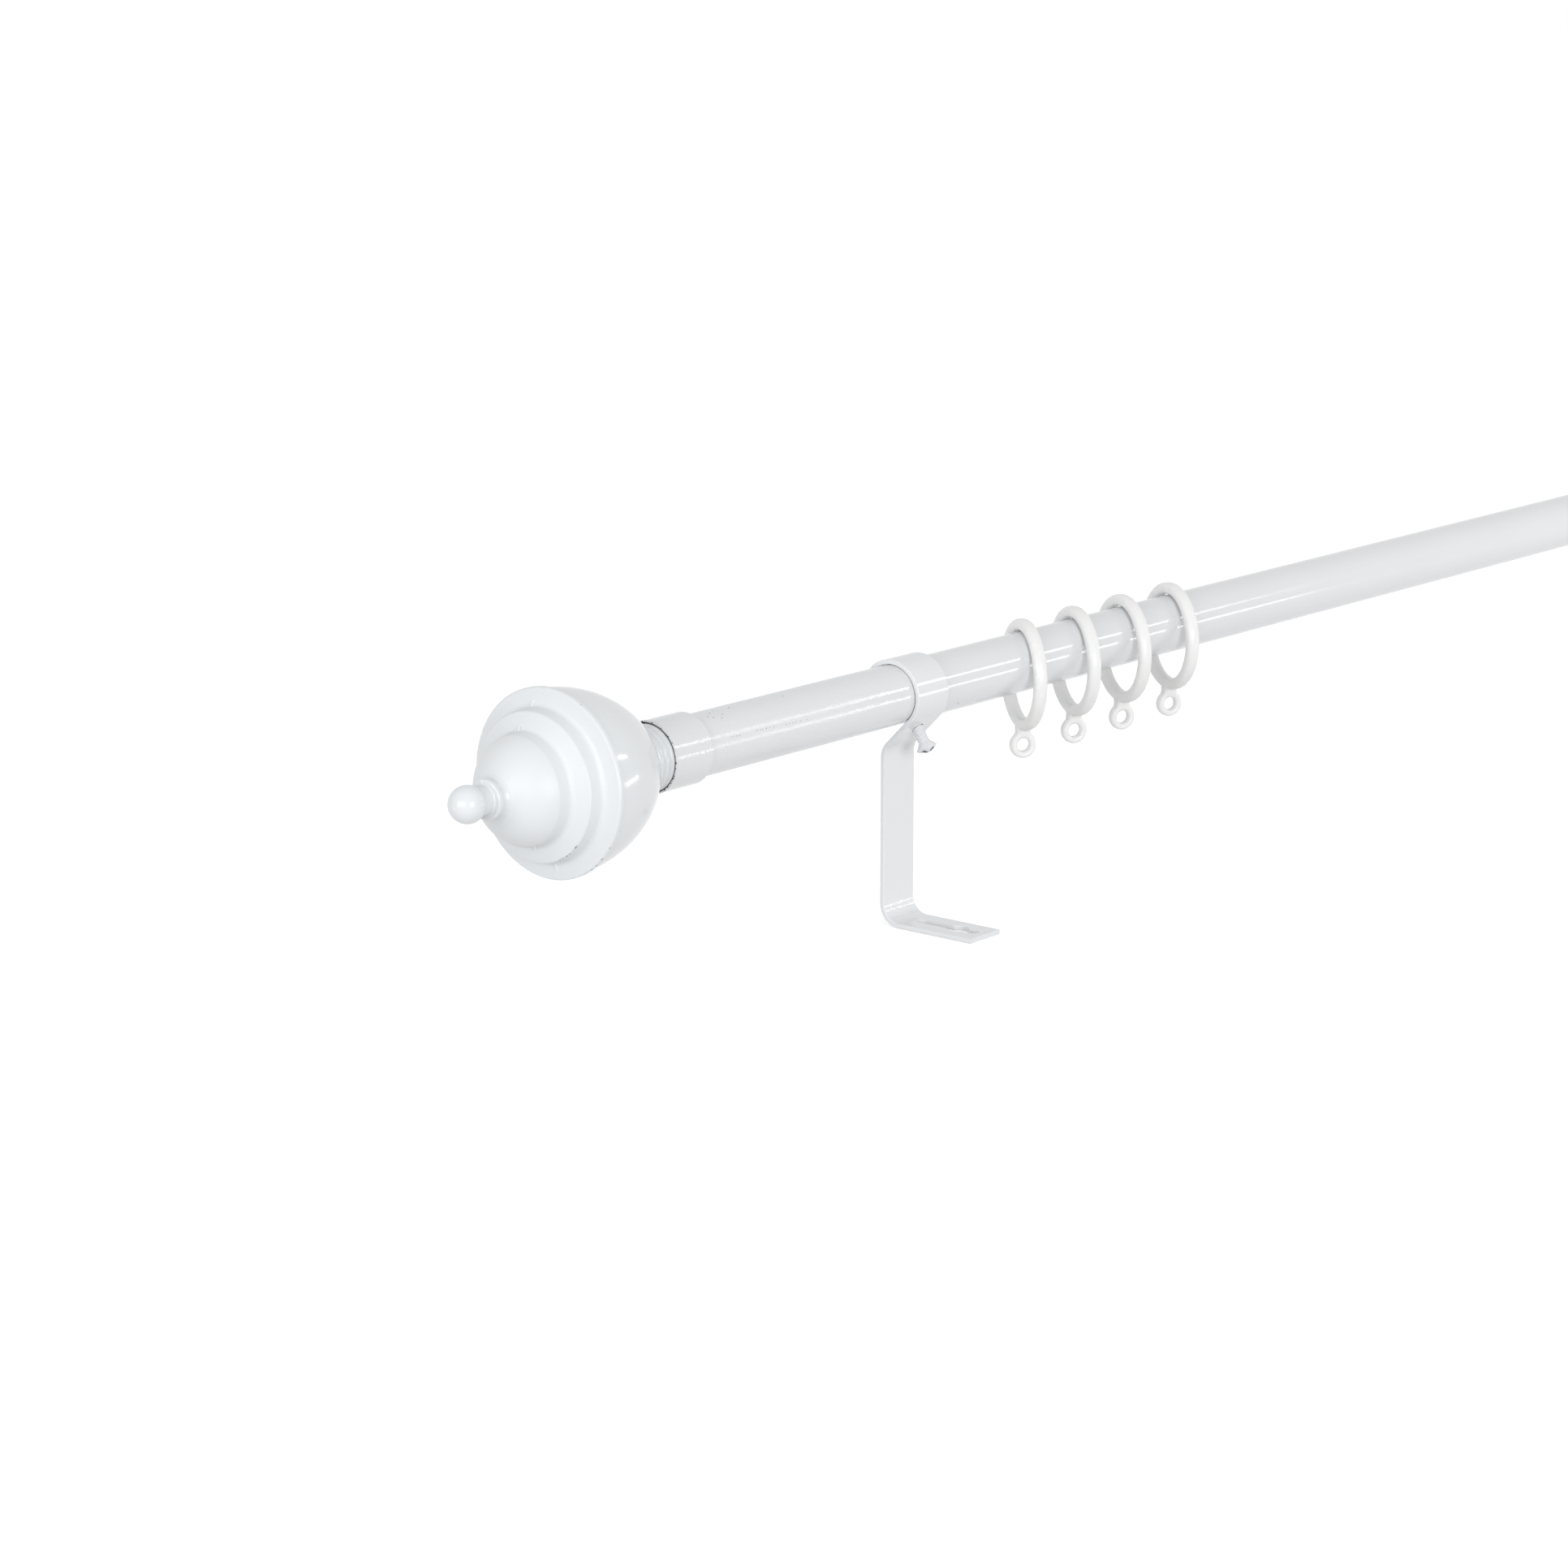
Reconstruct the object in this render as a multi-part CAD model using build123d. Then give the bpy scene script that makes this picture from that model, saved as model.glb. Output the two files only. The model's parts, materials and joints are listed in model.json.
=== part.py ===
from build123d import *
import os
from math import acos, cos, degrees, radians, sin, sqrt

# Curtain rod set: a round tube in two strap brackets, with a ferrule and a screwed-in finial at each end,
# clamp screws through the brackets and four eyeleted rings hanging on the tube.
# Millimetres. X runs along the rod, -Y is the side the feet point to, +Z is up.
# The origin is midway along the rod, on the plane under the brackets' feet.

# Rod
ROD_LENGTH = 1200.0
TUBE_DIAMETER = 20.0
TUBE_WALL = 1.2
AXIS_HEIGHT = 78.0

# Ferrules, sleeves half on the tube and half a wider socket for the finial's thread
FERRULE_LENGTH = 17.3
FERRULE_ON_TUBE = 8.7
FERRULE_WALL = 1.3
FERRULE_FIT = 0.1
FERRULE_EDGE = 0.3
SOCKET_WALL = 0.5

# Finial's threaded neck
NECK_SHOWN = 8.4
NECK_TIP_GAP = 2.6
THREAD_PITCH = 2.7
THREAD_DEPTH = 0.7
THREAD_FIT = 0.25
THREAD_CREST_SHARE = 0.86
THREAD_RELIEF = 1.2

# Finial's turned form, from the back shoulder out to the ball
BOWL_BACK_LIP = 0.2
BOWL_LENGTH = 35.0
RIM_RADIUS = 29.2
RIM_LIP = 0.8
RIM_WIDTH = 2.0
RIM_FACE_RISE = 1.0
RIM_STEP = 6.3
TIER_RISE = 5.0
TIER_FACE_RISE = 2.0
TIER_STEP = 6.1
DOME_RISE = 4.5
DOME_HEIGHT = 12.4
RISER_FLARE = 0.6
SCOTIA_ROOT_RADIUS = 5.5
SCOTIA_RADIUS = 3.5
SCOTIA_TURN = 68.0
COLLAR_LIP = 0.7
COLLAR_WIDTH = 2.0
COLLAR_ROUND = 0.6
STEM_RADIUS = 4.4
STEM_LENGTH = 3.3
BALL_RADIUS = 5.8
EDGE_ROUND = 0.7
RIM_BACK_ROUND = 0.5
COVE_ROUND = 1.6

# Brackets, one bent strip each
BRACKET_FROM_END = 118.2
STRIP_WIDTH = 16.0
STRIP_THICKNESS = 1.6
STRIP_EDGE = 0.35
HOOK_FIT = 0.15
HOOK_TAIL_ANGLE = 42.0
HOOK_LEAVE_ANGLE = 225.0
ARM_SETBACK = 3.2
NECK_BEND = 6.0
HEEL_BEND = 6.8
FOOT_LENGTH = 37.5

# Keyhole in each foot: a round hole on a long slot
KEYHOLE_RADIUS = 3.6
KEYHOLE_FROM_TIP = 11.1
SLOT_RADIUS = 1.95
SLOT_TO_BEND = 2.4
SLOT_TO_TIP = 3.0

# Clamp screws
SCREW_DIAMETER = 4.0
SCREW_FIT = 0.1
SCREW_ANGLE = 238.0
SCREW_OFFSET = 1.8
SCREW_TIP_GAP = 0.3
SCREW_SHANK = 7.5
SCREW_HEAD_DIAMETER = 7.2
SCREW_HEAD_CONE = 1.9
SCREW_HEAD_DOME = 1.0
SCREW_TIP_CHAMFER = 0.5
RECESS_SPAN = 3.8
RECESS_SLOT = 1.0
RECESS_DEPTH = 1.7

# Rings, each turned about the vertical to a few degrees short of where its bore would bind on the tube
RING_PLAY = 10.6
RING_SECTION_HEIGHT = 3.7
RING_SECTION_WIDTH = 5.0
RING_SECTION_FLAT = 0.3
RING_TUBE_GAP = 0.6
RING_FROM_BRACKET = (64.8, 94.3, 122.8, 151.8)
RING_SHORT_OF_BINDING = (2.0, 5.0, 8.0, 8.0)
EYELET_DIAMETER = 9.2
EYELET_HOLE = 4.6
EYELET_THICKNESS = 3.8
EYELET_DROP = 5.3
EYELET_ROUND = 1.1
WEB_WIDTH = 4.6
WEB_FLARE = 2.2
WEB_ROUND = 1.2

# Sizes that follow from the ones above
TUBE_RADIUS = TUBE_DIAMETER / 2
HALF_ROD = ROD_LENGTH / 2
SLEEVE_BORE_RADIUS = TUBE_RADIUS + FERRULE_FIT
SLEEVE_RADIUS = SLEEVE_BORE_RADIUS + FERRULE_WALL
SOCKET_RADIUS = SLEEVE_RADIUS - SOCKET_WALL
THREAD_RADIUS = SOCKET_RADIUS - THREAD_FIT
NECK_HELD = FERRULE_LENGTH - FERRULE_ON_TUBE - NECK_TIP_GAP
NECK_LENGTH = NECK_SHOWN + NECK_HELD
BOWL_BACK_RADIUS = SLEEVE_RADIUS + BOWL_BACK_LIP
TIER_RADIUS = RIM_RADIUS - RIM_STEP
DOME_RADIUS = TIER_RADIUS - TIER_STEP
MOUTH_X = HALF_ROD - FERRULE_ON_TUBE + FERRULE_LENGTH
SHOULDER_X = MOUTH_X + NECK_SHOWN
BRACKET_X = HALF_ROD - BRACKET_FROM_END
STRIP_MID_RADIUS = TUBE_RADIUS + HOOK_FIT + STRIP_THICKNESS / 2
FOOT_TIP_Y = ARM_SETBACK + STRIP_THICKNESS / 2 - FOOT_LENGTH
HEEL_BEND_Y = ARM_SETBACK - HEEL_BEND
RING_BORE_RADIUS = TUBE_RADIUS + RING_PLAY / 2
RING_MID_RADIUS = RING_BORE_RADIUS + RING_SECTION_HEIGHT / 2
RING_OUTER_RADIUS = RING_BORE_RADIUS + RING_SECTION_HEIGHT
RING_SECTION_ROUND = (RING_SECTION_HEIGHT - RING_SECTION_FLAT) / 2
RING_HANG = RING_BORE_RADIUS - TUBE_RADIUS - RING_TUBE_GAP
EYELET_DEPTH = RING_OUTER_RADIUS + EYELET_DROP
RING_BINDING_TURN = degrees(acos(sqrt(TUBE_RADIUS / RING_BORE_RADIUS)))

ROD_AXIS = Pos(0, 0, AXIS_HEIGHT)
TO_RIGHT = Rot(0, 90, 0)
TO_LEFT = Rot(0, -90, 0)
FROM_BASE = (Align.CENTER, Align.CENTER, Align.MIN)
ENDS = {"left": -1, "right": 1}


def rod_tube():
    """The plain tube, open at both ends."""
    wall = Circle(TUBE_RADIUS) - Circle(TUBE_RADIUS - TUBE_WALL)
    return TO_RIGHT * extrude(wall, HALF_ROD, both=True)


def ferrule():
    """A sleeve along +Z from its tube end, bored wider past the tube, with its outer edges rounded over."""
    sleeve = extrude(Circle(SLEEVE_RADIUS) - Circle(SLEEVE_BORE_RADIUS), FERRULE_LENGTH)
    sleeve -= Pos(0, 0, FERRULE_ON_TUBE) * Cylinder(SOCKET_RADIUS, FERRULE_LENGTH, align=FROM_BASE)
    circles = sleeve.edges().filter_by(GeomType.CIRCLE)
    return fillet(circles.filter_by(lambda edge: edge.radius > SOCKET_RADIUS), FERRULE_EDGE)


def finial_profile():
    """Half section of the finial: radius along X, distance out from the back shoulder along Y."""
    rim_back = BOWL_LENGTH
    rim_front = rim_back + RIM_WIDTH
    tier_foot = rim_front + RIM_FACE_RISE
    tier_edge = tier_foot + TIER_RISE
    dome_foot = tier_edge + TIER_FACE_RISE
    dome_edge = dome_foot + DOME_RISE
    crease = dome_edge + DOME_HEIGHT
    collar_front = crease + COLLAR_WIDTH
    ball_start = collar_front + STEM_LENGTH
    collar_radius = SCOTIA_ROOT_RADIUS + COLLAR_LIP
    ball_centre = ball_start + sqrt(BALL_RADIUS**2 - STEM_RADIUS**2)

    shoulder = Line((0, 0), (BOWL_BACK_RADIUS, 0))
    bowl = TangentArc((RIM_RADIUS - RIM_LIP, rim_back), shoulder @ 1, tangent=(0, -1))
    steps = FilletPolyline(
        (RIM_RADIUS - RIM_LIP, rim_back),
        (RIM_RADIUS, rim_back),
        (RIM_RADIUS, rim_front),
        (TIER_RADIUS + RISER_FLARE, tier_foot),
        (TIER_RADIUS, tier_edge),
        (DOME_RADIUS + RISER_FLARE, dome_foot),
        (DOME_RADIUS, dome_edge),
        radius=(RIM_BACK_ROUND, EDGE_ROUND, COVE_ROUND, EDGE_ROUND, COVE_ROUND),
    )
    scotia = JernArc((SCOTIA_ROOT_RADIUS, crease), (0, -1), SCOTIA_RADIUS, SCOTIA_TURN)
    dome = TangentArc(scotia @ 1, steps @ 1, tangent=scotia % 1)
    collar = FilletPolyline(
        (SCOTIA_ROOT_RADIUS, crease),
        (collar_radius, crease),
        (collar_radius, collar_front),
        (STEM_RADIUS, collar_front),
        (STEM_RADIUS, ball_start),
        radius=COLLAR_ROUND,
    )
    tip = (0, ball_centre + BALL_RADIUS)
    ball = ThreePointArc(collar @ 1, (BALL_RADIUS, ball_centre), tip)
    axis = Line(tip, (0, 0))
    face = make_face([shoulder, bowl, steps, scotia, dome, collar, ball, axis])
    dome_rim = face.vertices().sort_by_distance((DOME_RADIUS, dome_edge))[0]
    return fillet(dome_rim, EDGE_ROUND)


def threaded_neck():
    """The neck with its rounded thread ridge, sunk in it and cut off short of the shoulder."""
    core = THREAD_RADIUS - THREAD_DEPTH
    half_crest = THREAD_PITCH * THREAD_CREST_SHARE / 2
    sink = THREAD_DEPTH / 3
    root = 2 * THREAD_DEPTH
    path = Helix(THREAD_PITCH, NECK_LENGTH, core, center=(0, 0, half_crest + sink - NECK_LENGTH))
    arch = ThreePointArc((-sink, -half_crest), (THREAD_DEPTH, 0), (-sink, half_crest))
    foot = Polyline((-sink, half_crest), (-root, half_crest), (-root, -half_crest), (-sink, -half_crest))
    section = Plane(path @ 0, x_dir=(1, 0, 0), z_dir=(0, -1, 0)) * make_face([arch, foot])
    ridge = split(sweep(section, path, is_frenet=True), Plane.XY.offset(-THREAD_RELIEF), Keep.BOTTOM)
    into_shoulder = 2 * THREAD_PITCH
    plain = Cylinder(core, NECK_LENGTH + into_shoulder, align=FROM_BASE)
    return Pos(0, 0, -NECK_LENGTH) * plain + ridge


def finial():
    """One moulding along +Z, its back shoulder at Z zero and its threaded neck below that."""
    return revolve(Plane.XZ * finial_profile(), Axis.Z) + threaded_neck()


def strip_path():
    """Middle line of a bracket's strip, round the rod axis and down to the tip of the foot."""
    hook = CenterArc((0, 0), STRIP_MID_RADIUS, HOOK_TAIL_ANGLE, HOOK_LEAVE_ANGLE - HOOK_TAIL_ANGLE)
    leave = hook @ 1
    slope = hook % 1
    neck_z = leave.Y + (ARM_SETBACK - leave.X) * slope.Y / slope.X
    foot_z = STRIP_THICKNESS / 2 - AXIS_HEIGHT
    corners = (leave, (ARM_SETBACK, neck_z), (ARM_SETBACK, foot_z), (FOOT_TIP_Y, foot_z))
    return Plane.YZ * (hook + FilletPolyline(*corners, radius=(NECK_BEND, HEEL_BEND)))


def keyhole():
    """Cutter for the foot's keyhole: a round hole on a slot that runs out to both sides of it."""
    slot_start = FOOT_TIP_Y + SLOT_TO_TIP
    slot_end = HEEL_BEND_Y - SLOT_TO_BEND
    slot = Rot(0, 0, 90) * SlotOverall(slot_end - slot_start, 2 * SLOT_RADIUS)
    hole = Pos(0, FOOT_TIP_Y + KEYHOLE_FROM_TIP) * Circle(KEYHOLE_RADIUS)
    outline = Pos(0, (slot_start + slot_end) / 2) * slot + hole
    return extrude(Pos(0, 0, -AXIS_HEIGHT) * outline, STRIP_THICKNESS, both=True)


def screw_place():
    """Location on the clamp screw's axis, nearest the rod axis, with +Z towards the screw's head."""
    angle = radians(SCREW_ANGLE)
    out = Vector(0, cos(angle), sin(angle))
    aside = Vector(0, -sin(angle), cos(angle))
    return Plane(aside * SCREW_OFFSET, x_dir=(1, 0, 0), z_dir=out).location


def bracket():
    """A bent strip round the rod axis, drilled for its clamp screw and slotted for wall screws."""
    path = strip_path()
    section = RectangleRounded(STRIP_WIDTH, STRIP_THICKNESS, STRIP_EDGE)
    strip = sweep(Plane(path @ 0, x_dir=(1, 0, 0), z_dir=path % 0) * section, path)
    reach = STRIP_MID_RADIUS + 2 * STRIP_THICKNESS
    drill = Cylinder(SCREW_DIAMETER / 2 + SCREW_FIT, reach, align=FROM_BASE)
    return strip - screw_place() * drill - keyhole()


def clamp_screw():
    """A raised countersunk screw along +Z from the rod axis, its tip just clear of the tube."""
    shank = SCREW_DIAMETER / 2
    head = SCREW_HEAD_DIAMETER / 2
    tip = TUBE_RADIUS + SCREW_TIP_GAP
    cone = tip + SCREW_SHANK
    edge = cone + SCREW_HEAD_CONE
    crown = edge + SCREW_HEAD_DOME
    sides = Polyline(
        (0, tip),
        (shank - SCREW_TIP_CHAMFER, tip),
        (shank, tip + SCREW_TIP_CHAMFER),
        (shank, cone),
        (head, edge),
    )
    dome = TangentArc((0, crown), (head, edge), tangent=(1, 0))
    axis = Line((0, crown), (0, tip))
    turned = revolve(Plane.XZ * make_face([sides, dome, axis]), Axis.Z)
    for turn in (0, 90):
        slot = Box(RECESS_SPAN, RECESS_SLOT, 2 * RECESS_DEPTH, align=FROM_BASE)
        turned -= Pos(0, 0, crown - RECESS_DEPTH) * Rot(0, 0, turn) * slot
    return turned


def ring_web():
    """The web between a ring and its eyelet, its sides flaring out until they run along the hoop."""
    side = EYELET_THICKNESS / 2
    flare_z = -sqrt((RING_OUTER_RADIUS + WEB_FLARE) ** 2 - (side + WEB_FLARE) ** 2)
    to_hoop = RING_OUTER_RADIUS / (RING_OUTER_RADIUS + WEB_FLARE)
    on_hoop = Vector(side + WEB_FLARE, flare_z) * to_hoop
    in_hoop = on_hoop * (RING_MID_RADIUS / RING_OUTER_RADIUS)
    flare = TangentArc((side, flare_z), on_hoop, tangent=(0, 1))
    half = make_face([
        Polyline(on_hoop, in_hoop, (0, in_hoop.Y), (0, -EYELET_DEPTH), (side, -EYELET_DEPTH), (side, flare_z)),
        flare,
    ])
    web = extrude(Plane.YZ * (half + mirror(half, Plane.YZ)), WEB_WIDTH / 2, both=True)
    outline = web.faces().filter_by(Axis.X).edges()
    return fillet(outline.filter_by(GeomType.CIRCLE) + outline.filter_by(Axis.Z), WEB_ROUND)


def curtain_ring():
    """A ring about the X axis, centred on the origin, with its eyelet below it bored along Y."""
    section = RectangleRounded(RING_SECTION_WIDTH, RING_SECTION_HEIGHT, RING_SECTION_ROUND)
    hoop = revolve(Plane.XZ * Pos(0, RING_MID_RADIUS) * section, Axis.X)
    at_eyelet = Pos(0, 0, -EYELET_DEPTH) * Rot(90, 0, 0)
    eye = Cylinder(EYELET_DIAMETER / 2, EYELET_THICKNESS)
    eye = fillet(eye.edges().filter_by(GeomType.CIRCLE), EYELET_ROUND)
    hole = Cylinder(EYELET_HOLE / 2, 2 * EYELET_THICKNESS)
    return hoop + ring_web() + at_eyelet * eye - at_eyelet * hole


def pieces():
    """Every piece by name, in its place on the rod."""
    made = {"rod_tube": ROD_AXIS * rod_tube()}
    for side, sign in ENDS.items():
        outward = TO_RIGHT if sign > 0 else TO_LEFT
        made[f"ferrule_{side}"] = ROD_AXIS * Pos(sign * (MOUTH_X - FERRULE_LENGTH)) * outward * ferrule()
        made[f"finial_{side}"] = ROD_AXIS * Pos(sign * SHOULDER_X) * outward * finial()
        at_bracket = ROD_AXIS * Pos(sign * BRACKET_X)
        made[f"bracket_{side}"] = at_bracket * bracket()
        made[f"clamp_screw_{side}"] = at_bracket * screw_place() * clamp_screw()
    for index, (along, short) in enumerate(zip(RING_FROM_BRACKET, RING_SHORT_OF_BINDING), start=1):
        hung = ROD_AXIS * Pos(along - BRACKET_X, 0, -RING_HANG) * Rot(0, 0, short - RING_BINDING_TURN)
        made[f"curtain_ring_{index}"] = hung * curtain_ring()
    return made


os.makedirs("parts", exist_ok=True)
for name, solid in pieces().items():
    export_step(solid, f"parts/{name}.step")
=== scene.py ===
"""A white curtain rod set, dressed: gloss enamel, moulded finials, milky rings and the wear they carry."""

import json
import logging
import math
import random
from collections.abc import Callable, Iterable, Iterator, Sequence
from contextlib import contextmanager
from dataclasses import dataclass
from enum import Enum
from itertools import pairwise
from typing import Any

import bmesh
import bpy
from mathutils import Matrix, Vector


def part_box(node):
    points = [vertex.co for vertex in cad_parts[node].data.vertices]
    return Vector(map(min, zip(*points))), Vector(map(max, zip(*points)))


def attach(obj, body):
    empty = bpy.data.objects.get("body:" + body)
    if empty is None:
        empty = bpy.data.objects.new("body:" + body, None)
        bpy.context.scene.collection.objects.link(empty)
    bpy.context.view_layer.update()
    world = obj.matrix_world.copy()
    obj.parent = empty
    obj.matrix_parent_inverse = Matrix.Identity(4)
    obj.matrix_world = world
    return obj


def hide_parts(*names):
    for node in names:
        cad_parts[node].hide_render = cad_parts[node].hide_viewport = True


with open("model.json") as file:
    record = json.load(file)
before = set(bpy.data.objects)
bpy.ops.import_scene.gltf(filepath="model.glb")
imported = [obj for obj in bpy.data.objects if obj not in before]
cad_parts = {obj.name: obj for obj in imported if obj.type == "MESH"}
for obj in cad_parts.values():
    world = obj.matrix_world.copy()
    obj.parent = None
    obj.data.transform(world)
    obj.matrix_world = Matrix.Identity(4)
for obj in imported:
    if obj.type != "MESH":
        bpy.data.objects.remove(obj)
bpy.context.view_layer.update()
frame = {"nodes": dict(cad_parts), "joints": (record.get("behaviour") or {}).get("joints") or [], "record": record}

MM = 0.001
WELD = 0.001 * MM
FULL_TURN = 2 * math.pi
# Degrees, so wide that a sector's fade never starts
FULL_SECTOR = 720.0
# What the noise swings about, and a level that all of it is above
NOISE_MIDDLE = 0.5
UNBROKEN = -1.0
ALONG_ROD = Vector((1, 0, 0))

Colour = tuple[float, float, float]
Pair = tuple[float, float]
Number = "float | Amount"
Point = Sequence[float]

log = logging.getLogger("curtain_rod")


class End(Enum):
    """The two ends of the rod."""

    LEFT = "left"
    RIGHT = "right"

    @property
    def outward(self) -> int:
        """The sign of X towards this end."""
        return -1 if self is End.LEFT else 1


class Slot(Enum):
    """The finishes that the part's record names."""

    PAINT = "white_gloss_paint"
    FINIAL = "finial_moulding"
    RING = "ring_plastic"


class LampShape(Enum):
    """The outlines of the lamps."""

    BOX = "RECTANGLE"
    ROUND = "ELLIPSE"


def joint_named(name: str) -> dict[str, Any]:
    """Find a joint of the frame.

    Args:
        name: the joint's name.

    Returns:
        The joint's entry, with its place and axis.
    """
    return next(joint for joint in frame["joints"] if joint["name"] == name)


def mount_named(name: str) -> dict[str, Any]:
    """Find a mount of the frame.

    Args:
        name: the mount's name.

    Returns:
        The mount's entry, with its place, axis and sizes.
    """
    return next(mount for mount in frame["record"]["mounts"] if mount["name"] == name)


ROD_HEIGHT = joint_named("finial_left_turn")["pos_m"][2]


def around_rod(along: float, radius: float, angle: float) -> Vector:
    """Find a point near the rod by its place along it and its angle round it.

    Args:
        along: X of the point.
        radius: distance from the rod's axis.
        angle: degrees, 0 towards the front and 90 at the top.

    Returns:
        The point in the part's frame.
    """
    turn = math.radians(angle)
    return Vector((along, -radius * math.cos(turn), ROD_HEIGHT + radius * math.sin(turn)))


class Amount:
    """A number on its way through a material's nodes, so that shader sums read as plain sums."""

    def __init__(self, sheet: "Sheet", socket: bpy.types.NodeSocket) -> None:
        """Hold the socket that gives the number, and the sheet of nodes it is on."""
        self.sheet = sheet
        self.socket = socket

    def _sum(self, operation: str, *terms: Number) -> "Amount":
        """Add one Math node.

        Args:
            operation: the node's operation.
            terms: its inputs in order.

        Returns:
            The node's result.
        """
        made = self.sheet.node("ShaderNodeMath", {"operation": operation}, dict(enumerate(terms)))
        return Amount(self.sheet, made.outputs[0])

    def __add__(self, other: Number) -> "Amount":
        """Sum."""
        return self._sum("ADD", self, other)

    def __radd__(self, other: Number) -> "Amount":
        """Sum, with a plain number first."""
        return self._sum("ADD", other, self)

    def __sub__(self, other: Number) -> "Amount":
        """Difference."""
        return self._sum("SUBTRACT", self, other)

    def __rsub__(self, other: Number) -> "Amount":
        """Difference, with a plain number first."""
        return self._sum("SUBTRACT", other, self)

    def __mul__(self, other: Number) -> "Amount":
        """Product."""
        return self._sum("MULTIPLY", self, other)

    def __rmul__(self, other: Number) -> "Amount":
        """Product, with a plain number first."""
        return self._sum("MULTIPLY", other, self)

    def __pow__(self, other: Number) -> "Amount":
        """Power."""
        return self._sum("POWER", self, other)

    def __abs__(self) -> "Amount":
        """Size without its sign."""
        return self._sum("ABSOLUTE", self)

    def __lt__(self, other: Number) -> "Amount":
        """One where this is the smaller, else zero."""
        return self._sum("LESS_THAN", self, other)

    def most(self, other: Number) -> "Amount":
        """The larger of the two."""
        return self._sum("MAXIMUM", self, other)

    def least(self, other: Number) -> "Amount":
        """The smaller of the two."""
        return self._sum("MINIMUM", self, other)

    def hypot(self, other: "Amount") -> "Amount":
        """The length of a step of these two."""
        return (self * self + other * other) ** 0.5

    def angle(self, across: "Amount") -> "Amount":
        """The angle in degrees of a step up by this and across by the other."""
        return self._sum("ARCTAN2", self, across) * math.degrees(1.0)

    def ease(self, start: float, end: float) -> "Amount":
        """Ease from zero to one.

        Args:
            start: the value that gives zero.
            end: the value that gives one, which may be the smaller of the two.

        Returns:
            The eased number.
        """
        made = self.sheet.node(
            "ShaderNodeMapRange",
            {"interpolation_type": "SMOOTHSTEP"},
            {"Value": self, "From Min": start, "From Max": end},
        )
        return Amount(self.sheet, made.outputs[0])


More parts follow.
